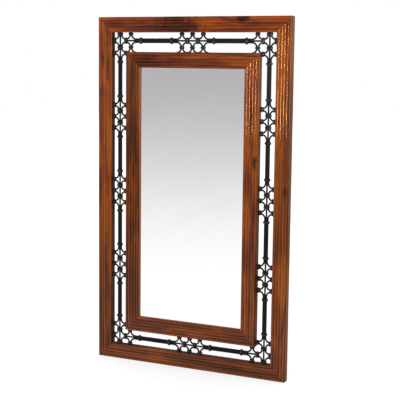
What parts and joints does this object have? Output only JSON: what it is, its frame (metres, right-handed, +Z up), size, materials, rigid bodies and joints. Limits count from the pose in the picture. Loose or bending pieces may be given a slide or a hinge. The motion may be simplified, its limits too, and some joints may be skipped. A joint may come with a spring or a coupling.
{
  "type": "wall mirror",
  "caption": "Tall wall mirror: inner and outer mitred frames of reeded dark hardwood joined by a band of black iron lattice, with flush keyhole hangers on the back.",
  "frame": {"origin": "midway between the two keyhole entries, on the back plane of the outer frame, which is the wall plane", "axes": "+Z up, +X to the right seen from the front, the front faces -Y and +Y goes into the wall"},
  "size_m": [0.715, 0.026, 1.2],
  "materials": {
    "reeded_hardwood": "satin lacquer, reddish brown with dark streaks",
    "tongue_wood": "raw",
    "black_iron": "satin black, hand forged",
    "mirror_glass": "silvered, polished",
    "backing_board": "brown hardboard",
    "plated_steel": "zinc plated"
  },
  "bodies": {
    "root": {"backing_board": "backing_board", "backing_screws": "plated_steel", "hanger_screws": "plated_steel", "inner_bottom_rail": "reeded_hardwood", "inner_left_stile": "reeded_hardwood", "inner_mitre_tongues": "tongue_wood", "inner_right_stile": "reeded_hardwood", "inner_top_rail": "reeded_hardwood", "jali_bottom_bar_1_rods": "black_iron", "jali_bottom_bar_2_rods": "black_iron", "jali_bottom_bar_collars": "black_iron", "jali_bottom_cluster_1_rings": "black_iron", "jali_bottom_left_corner_rings": "black_iron", "jali_bottom_right_corner_rings": "black_iron", "jali_bottom_side_beads": "black_iron", "jali_bottom_spine": "black_iron", "jali_bottom_spine_collars": "black_iron", "jali_corner_side_beads": "black_iron", "jali_corner_spine_collars": "black_iron", "jali_left_bar_1_rods": "black_iron", "jali_left_bar_2_rods": "black_iron", "jali_left_bar_3_rods": "black_iron", "jali_left_bar_4_rods": "black_iron", "jali_left_bar_collars": "black_iron", "jali_left_cluster_1_rings": "black_iron", "jali_left_cluster_2_rings": "black_iron", "jali_left_cluster_3_rings": "black_iron", "jali_left_side_beads": "black_iron", "jali_left_spine": "black_iron", "jali_left_spine_collars": "black_iron", "jali_right_bar_1_rods": "black_iron", "jali_right_bar_2_rods": "black_iron", "jali_right_bar_3_rods": "black_iron", "jali_right_bar_4_rods": "black_iron", "jali_right_bar_collars": "black_iron", "jali_right_cluster_1_rings": "black_iron", "jali_right_cluster_2_rings": "black_iron", "jali_right_cluster_3_rings": "black_iron", "jali_right_side_beads": "black_iron", "jali_right_spine": "black_iron", "jali_right_spine_collars": "black_iron", "jali_top_bar_1_rods": "black_iron", "jali_top_bar_2_rods": "black_iron", "jali_top_bar_collars": "black_iron", "jali_top_cluster_1_rings": "black_iron", "jali_top_left_corner_rings": "black_iron", "jali_top_right_corner_rings": "black_iron", "jali_top_side_beads": "black_iron", "jali_top_spine": "black_iron", "jali_top_spine_collars": "black_iron", "keyhole_hanger_left": "plated_steel", "keyhole_hanger_right": "plated_steel", "mirror_glass": "mirror_glass", "outer_bottom_rail": "reeded_hardwood", "outer_left_stile": "reeded_hardwood", "outer_mitre_tongues": "tongue_wood", "outer_right_stile": "reeded_hardwood", "outer_top_rail": "reeded_hardwood"}
  },
  "joints": []
}
